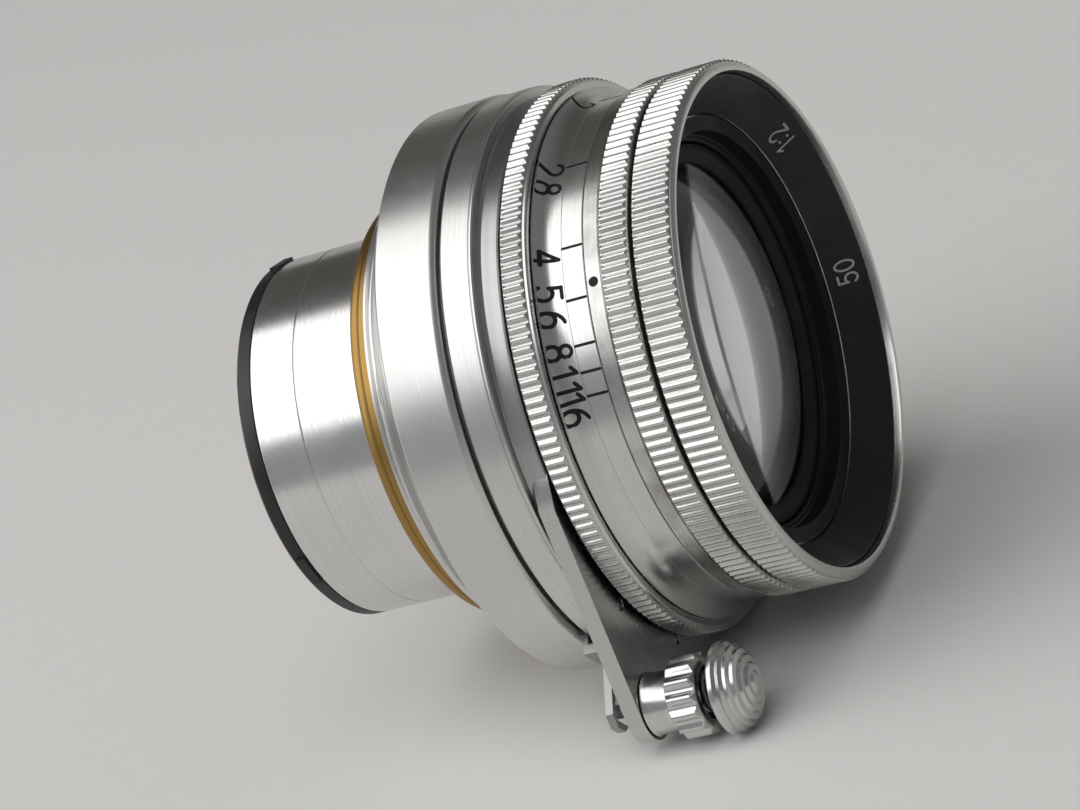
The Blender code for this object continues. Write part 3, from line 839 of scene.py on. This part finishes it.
def build_tube(skin):
    line = -12.8           # a turned line round the tube
    ledge_rear, ledge_front = -9.6, -8.6
    ledge_bore = 12.6
    end_bore = 13.6
    lug_width = 3.0
    chrome_rear = TUBE_REAR - 0.6
    data = lathe(
        [
            (chrome_rear, TUBE_BORE),
            (chrome_rear, TUBE_R - 0.08),
            (chrome_rear + 0.1, TUBE_R),
            (line - 0.08, TUBE_R),
            (line, TUBE_R - 0.08),
            (line + 0.08, TUBE_R),
            (TUBE_FRONT, TUBE_R),
            (TUBE_FRONT, TUBE_BORE),
            (ledge_front, TUBE_BORE),
            (ledge_front, ledge_bore),
            (ledge_rear, ledge_bore),
            (ledge_rear, TUBE_BORE),
        ],
        soft=0.03,
    )
    show("sliding_tube_detail", data, "tube", skin["tube"], ("sliding_tube",))
    data = lathe(
        [
            (END_REAR, end_bore),
            (END_REAR, TUBE_R - 0.25),
            (END_REAR + 0.25, TUBE_R),
            (chrome_rear - 0.02, TUBE_R),
            (chrome_rear - 0.02, end_bore),
        ]
    )
    nodes = ("tube_end_ring",)
    ring = show("tube_end_detail", data, "tube", skin["worn_black"], nodes)
    low, high = (-17.9, 14.5), (chrome_rear - 0.1, LUG_R)
    lugs = [wedge(angle, lug_width, low, high) for angle in LUG_ANGLES]
    carve(ring, "UNION", *lugs)


def build_grip(skin):
    crest, depth, teeth = GRIP_R, 0.27, 174
    lip = 0.28
    front = GRIP_FRONT - lip
    outline = [(GRIP_REAR, BARREL_R + 0.1), (GRIP_REAR, crest - 0.6)]
    outline += chamfer_rows(GRIP_REAR + 0.02, crest - 0.4, GRIP_REAR + 0.3, crest)
    outline += chamfer_rows(front - 0.22, crest, front, crest - 0.34)
    outline += [(front + 0.04, crest - 0.32), (GRIP_FRONT - 0.08, crest - 0.36)]
    outline += [(GRIP_FRONT, crest - 0.46), (GRIP_FRONT, BARREL_R + 0.1)]
    data = lathe(outline, knurl_angles(teeth), knurl(teeth, crest, depth, GRIP_REAR, front + 0.01), 0)
    show("grip_ring_detail", data, "tube", skin["grip"], ("grip_ring",))


def flare_profile():
    """The scale's open profile: a hollow flare behind a straight band."""
    flare_r = 2.2
    centre = (15.35, SCALE_R + flare_r)
    made = [(SCALE_REAR, 22.35), (SCALE_REAR + 0.12, 22.4)]
    for i in range(13):
        turn = math.radians(211 + (270 - 211) * i / 12)
        made.append((centre[0] + flare_r * math.cos(turn), centre[1] + flare_r * math.sin(turn)))
    made += [(15.42, SCALE_R), (15.44, SCALE_R - 0.03), (15.48, SCALE_R)]
    made += [(SCALE_FRONT - 0.06, SCALE_R), (SCALE_FRONT, SCALE_R - 0.06)]
    return made


# Marked stop: (sign, angle of its centre, angle of its tick)
STOPS = (
    ("2", -7.5, -10.4),
    ("2.8", 22.8, 19.7),
    ("4", 42.6, 41.1),
    ("5.6", 53.3, 52.8),
    ("8", 63.0, 62.5),
    ("11", 68.9, 68.2),
    ("16", 75.0, 73.2),
)
DOT_ANGLE = 50.2


def build_scale(skin):
    profile = flare_profile()
    inside = BARREL_R + 0.1
    outline = [(SCALE_REAR, inside)] + profile + [(SCALE_FRONT, inside)]
    data = lathe(outline, soft=0)
    show("scale_sleeve_detail", data, "tube", skin["scale"], ("scale_sleeve",))
    sign_x = 14.2
    sign_height, sign_stroke, tick_stroke = 1.9, 0.36, 0.27
    tick_rear, tick_front = 15.52, 17.15
    for sign, sign_angle, tick_angle in STOPS:
        name = sign.replace(".", "_")
        place = on_ring(profile, sign_x, sign_angle)
        data = engraving(writing(sign, sign_height), sign_stroke, place)
        show(f"scale_sign_{name}", data, "tube", skin["ink"])
        place = on_ring(profile, (tick_rear + tick_front) / 2, tick_angle)
        half = (tick_front - tick_rear) / 2
        data = engraving([[(0, -half), (0, half)]], tick_stroke, place)
        show(f"scale_tick_{name}", data, "tube", skin["ink"])


def build_front_ring(skin):
    crest, depth, teeth = WIDE_R, 0.27, 160
    lip = RIM_FRONT - 0.3
    bore = RIM_BORE
    web = RECESS_R + 0.7
    outline = [(WIDE_REAR, web), (WIDE_REAR, crest - 0.6)]
    outline += chamfer_rows(WIDE_REAR + 0.02, crest - 0.42, WIDE_REAR + 0.3, crest)
    outline += chamfer_rows(lip - 0.26, crest, lip, crest - 0.36)
    outline += [
        (lip + 0.04, crest - 0.34),
        (RIM_FRONT - 0.12, crest - 0.46),
        (RIM_FRONT - 0.03, crest - 0.6),
        (RIM_FRONT, crest - 0.72),
        (RIM_FRONT, bore + 0.2),
        (RIM_FRONT - 0.06, bore + 0.06),
        (RIM_FRONT - 0.2, bore),
        (WIDE_REAR + 0.7, bore),
        (WIDE_REAR + 0.7, web),
    ]
    shape = knurl(teeth, crest, depth, WIDE_REAR, lip + 0.01)
    data = lathe(outline, knurl_angles(teeth), shape, 0)
    show("front_ring_detail", data, "tube", skin["knurl"], ("front_ring",))


def build_name_ring(skin):
    """The black ring inside the rim, with the focal length and widest stop in figures only."""
    sign_x, sign_height, sign_stroke = 23.25, 1.4, 0.2
    rear = WIDE_REAR + 0.15
    outer = RIM_BORE - 0.1
    face = [(rear + 0.02, RECESS_R + 0.03), (24.5, outer - 0.25)]
    back = [(24.6, outer), (rear + 0.65, outer), (rear + 0.65, RECESS_R + 0.6), (rear, RECESS_R + 0.6)]
    data = lathe([(rear, RECESS_R)] + face + back, soft=0.03)
    show("name_ring_detail", data, "tube", skin["enamel"], ("name_ring",))
    for name, sign, angle in (("name_sign_stop", "1:2", -62), ("name_sign_focal", "50", -104)):
        place = on_ring(face, sign_x, angle, True)
        data = engraving(writing(sign, sign_height), sign_stroke, place)
        show(name, data, "tube", skin["white_ink"])


def build_aperture_ring(skin):
    crest, depth, teeth = NARROW_R, 0.27, 160
    bore = 16.9
    index_r = 21.4
    dot_x, dot_r = 18.02, 0.45
    start = 18.72          # rear end of the knurl
    outline = [(INDEX_REAR, bore), (INDEX_REAR, index_r - 0.06), (INDEX_REAR + 0.06, index_r)]
    outline += [(start - 0.1, index_r), (start - 0.04, index_r - 0.16)]
    outline += chamfer_rows(start, crest - 0.42, start + 0.28, crest)
    outline += chamfer_rows(NARROW_FRONT - 0.26, crest, NARROW_FRONT, crest - 0.4)
    outline += [(NARROW_FRONT, bore)]
    shape = knurl(teeth, crest, depth, start - 0.01, NARROW_FRONT + 0.01)
    data = lathe(outline, knurl_angles(teeth), shape, 0)
    show("aperture_ring_detail", data, "aperture", skin["knurl"], ("aperture_ring",))
    dot = dimple(dot_x, index_r, DOT_ANGLE, dot_r)
    show("aperture_dot", dot, "aperture", skin["ink"])


def dimple(x, r, angle, size):
    """A round colour-filled dimple on a ring."""
    rings = ((0.0, 0.004), (0.7, 0.004), (0.88, 0.012), (1.0, -0.02))
    count = 28
    points = []
    for share, height in rings:
        for i in range(count):
            turn = 2 * math.pi * i / count
            round_ring = math.degrees(size * share * math.sin(turn) / r)
            points.append(at(x + size * share * math.cos(turn), r + height, angle + round_ring))
    faces = [tuple(range(count, 2 * count))]
    for k in (1, 2):
        for i in range(count):
            j = (i + 1) % count
            faces.append((k * count + j, k * count + i, (k + 1) * count + i, (k + 1) * count + j))
    data = bpy.data.meshes.new("dimple")
    data.from_pydata(points, [], faces)
    mesh = bmesh.new()
    mesh.from_mesh(data)
    loose = [vert for vert in mesh.verts if not vert.link_faces]
    bmesh.ops.delete(mesh, geom=loose, context="VERTS")
    bmesh.ops.recalc_face_normals(mesh, faces=mesh.faces)
    mesh.to_mesh(data)
    mesh.free()
    return data


def sag(curve, r):
    return math.copysign(abs(curve) - math.sqrt(curve * curve - r * r), curve)


# Glass: (name, front crown, its curve, rear crown, its curve, rim, nodes). A curve is a radius that is
# positive when the surface bulges forwards.
LENSES = (
    ("front_group", 22.0, 36, 16.9, 160, FRONT_GLASS_R, ("element_1", "element_2")),
    ("second_group", 13.0, 22, 8.9, 45, 10.6, ("element_3", "element_4")),
    ("third_group", 2.4, -45, -4.2, -26, 10.0, ("element_5", "element_6")),
    ("rear_element", -4.9, 120, -9.0, -60, 10.2, ("element_7",)),
)


def glass(name, front, front_curve, rear, rear_curve, rim, surface, nodes):
    """A lens, turned from its two surfaces."""
    rings = 28
    heights = [rim * i / rings for i in range(1, rings + 1)]
    outline = [(front, 0)]
    outline += [(front - sag(front_curve, r), r) for r in heights]
    outline += [(rear - sag(rear_curve, r), r) for r in reversed(heights)]
    outline += [(rear, 0)]
    show(name, lathe(outline, even(120), None, 0), "tube", surface, nodes)


def build_optics(skin):
    rim = FRONT_GLASS_R
    bore = rim + 0.2
    step = 18.7
    mouth = 16.1
    for name, front, front_curve, rear, rear_curve, edge, nodes in LENSES:
        glass(name, front, front_curve, rear, rear_curve, edge, skin["glass"], nodes)
    outer = [(7.6, 10.9), (7.6, REAR_CELL_R), (11.2, REAR_CELL_R), (11.8, 15.5), (step, 15.5)]
    outer.append((step, mouth + 0.5))
    outer += [(WIDE_REAR - 0.1, mouth + 0.5), (WIDE_REAR - 0.1, RECESS_R - 0.15)]
    cone = [(WIDE_REAR + 0.15, RECESS_R - 0.15)]
    terraces = 7
    for i in range(terraces, 0, -1):
        x = step + 1.2 + (WIDE_REAR - step - 1.1) * (i - 0.5) / terraces
        r = mouth + (RECESS_R - 0.15 - mouth) * (i - 0.5) / terraces
        cone += [(x, r + 0.1), (x - 0.04, r - 0.06)]
    inner = [(step + 1.2, mouth), (step + 0.1, mouth), (step + 0.1, bore), (16.0, bore)]
    inner += [(16.0, 13.8), (12.1, 12.0), (11.4, 10.9)]
    data = lathe(outer + cone + inner, soft=0.03)
    show("front_cell_detail", data, "tube", skin["cell"], ("front_cell",))
    rear = step + 0.35
    ring = [(rear, rim - 0.3), (rear, mouth - 0.2), (rear + 0.75, mouth - 0.2), (rear + 0.75, rim + 0.6)]
    data = lathe(ring + [(rear + 0.25, rim - 0.2)], soft=0.04)
    show("front_retainer", data, "tube", skin["cell"], ("front_retaining_ring",))
    build_rear_cell(skin)


def build_rear_cell(skin):
    data = lathe(
        [
            (-8.5, 11.3),
            (-8.5, REAR_CELL_R),
            (3.6, REAR_CELL_R),
            (3.6, 10.3),
            (-2.6, 10.3),
            (-2.6, 9.3),
            (-4.2, 9.3),
            (-4.2, 10.5),
            (-8.3, 10.5),
            (-8.3, 11.3),
        ]
    )
    show("rear_cell_detail", data, "tube", skin["cell"], ("rear_cell",))
    data = lathe([(-9.9, 9.4), (-9.9, 12.3), (-8.8, 12.3), (-8.8, 9.9)], soft=0.08)
    made = show("rear_retainer", data, "tube", skin["cell"], ("rear_retaining_ring",))
    slots = [wedge(angle, 1.0, (-10.5, 10.8), (-9.4, 13.0)) for angle in (70, 250)]
    carve(made, "DIFFERENCE", *slots)


def dress_cad_nodes(skin):
    """Materials for the CAD nodes that stay: hidden rings, pins, and the iris."""
    kept = {
        "satin": ("head_barrel",),
        "cell": ("focus_retaining_ring", "iris_drive_sleeve", "iris_housing", "iris_cam_ring"),
        "steel": ("lock_pin", "lock_spring", "iris_drive_pin"),
        "felt": ("felt_ring",),
        "blade": tuple(f"iris_blade_{number}" for number in range(1, 7)),
    }
    for surface, names in kept.items():
        for name in names:
            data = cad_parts[name].data
            data.materials.clear()
            data.materials.append(skin[surface])


def make_skin():
    chrome = (0.68, 0.675, 0.66)
    bright = (0.74, 0.735, 0.725)
    axis = knob_axis()
    grip_teeth = (GRIP_R - 0.3, GRIP_R - 0.14, GRIP_FRONT - 0.3)
    knurl_teeth = (WIDE_R - 0.3, WIDE_R - 0.14, RIM_FRONT - 0.35)
    return {
        "satin": turned_metal("satin_chrome_turned", chrome, 0.3, 0.5),
        "scale": turned_metal("satin_chrome_scale", chrome, 0.24, 0.25),
        "grip": turned_metal("satin_chrome_grip", chrome, 0.27, 0.2, grip_teeth),
        "knurl": turned_metal("satin_chrome_knurl", chrome, 0.27, 0.2, knurl_teeth),
        "tube": turned_metal("polished_tube", bright, 0.21, 0.2),
        # The neck's chrome is darker than the rings beside it: painted shade for the groove it sits in.
        "neck": turned_metal("neck_painted_shade", (0.46, 0.455, 0.45), 0.3, 0.25),
        "plate": turned_metal("satin_lever", (0.6, 0.595, 0.585), 0.26, 0.2),
        "catch": turned_metal("worn_catch", (0.38, 0.375, 0.365), 0.4, 0.2),
        "knob": turned_metal("polished_knob", (0.66, 0.655, 0.645), 0.2, 0.15, None, (axis.y, axis.z)),
        "brass": turned_metal("lacquered_brass", (0.38, 0.235, 0.075), 0.36, 0.4),
        "steel": turned_metal("steel", (0.45, 0.45, 0.46), 0.3, 0.3),
        "enamel": black_enamel("black_enamel", 0.45, 0.35),
        "cell": black_enamel("black_cell", 0.5, 0.2),
        "worn_black": black_enamel("worn_black", 0.4, 0.5, (END_REAR, 0.3)),
        "ink": black_enamel("black_ink", 0.5, 0.2),
        "white_ink": plain("white_ink", (0.42, 0.42, 0.41), 0.6),
        "blade": turned_metal("blued_steel", (0.05, 0.052, 0.06), 0.45, 0.3),
        "felt": wool("black_felt"),
        "glass": clear_glass("coated_glass_clear", 1.62, (0.97, 0.98, 1.0)),
    }


def light_the_set():
    panel("window", (-0.219, -0.346, 0.784), (0.215, -0.051, 0.117), 2.0, 1.06, 10.4)


def main():
    skin = make_skin()
    make_camera()
    surroundings()
    sweep(plain("paper", (0.76, 0.75, 0.73), 0.9))
    light_the_set()
    build_mount(skin)
    build_focus(skin)
    build_helicoid(skin)
    build_tube(skin)
    build_grip(skin)
    build_scale(skin)
    build_front_ring(skin)
    build_name_ring(skin)
    build_aperture_ring(skin)
    build_optics(skin)
    dress_cad_nodes(skin)
    scene = bpy.context.scene
    scene.view_settings.view_transform = "Standard"


main()
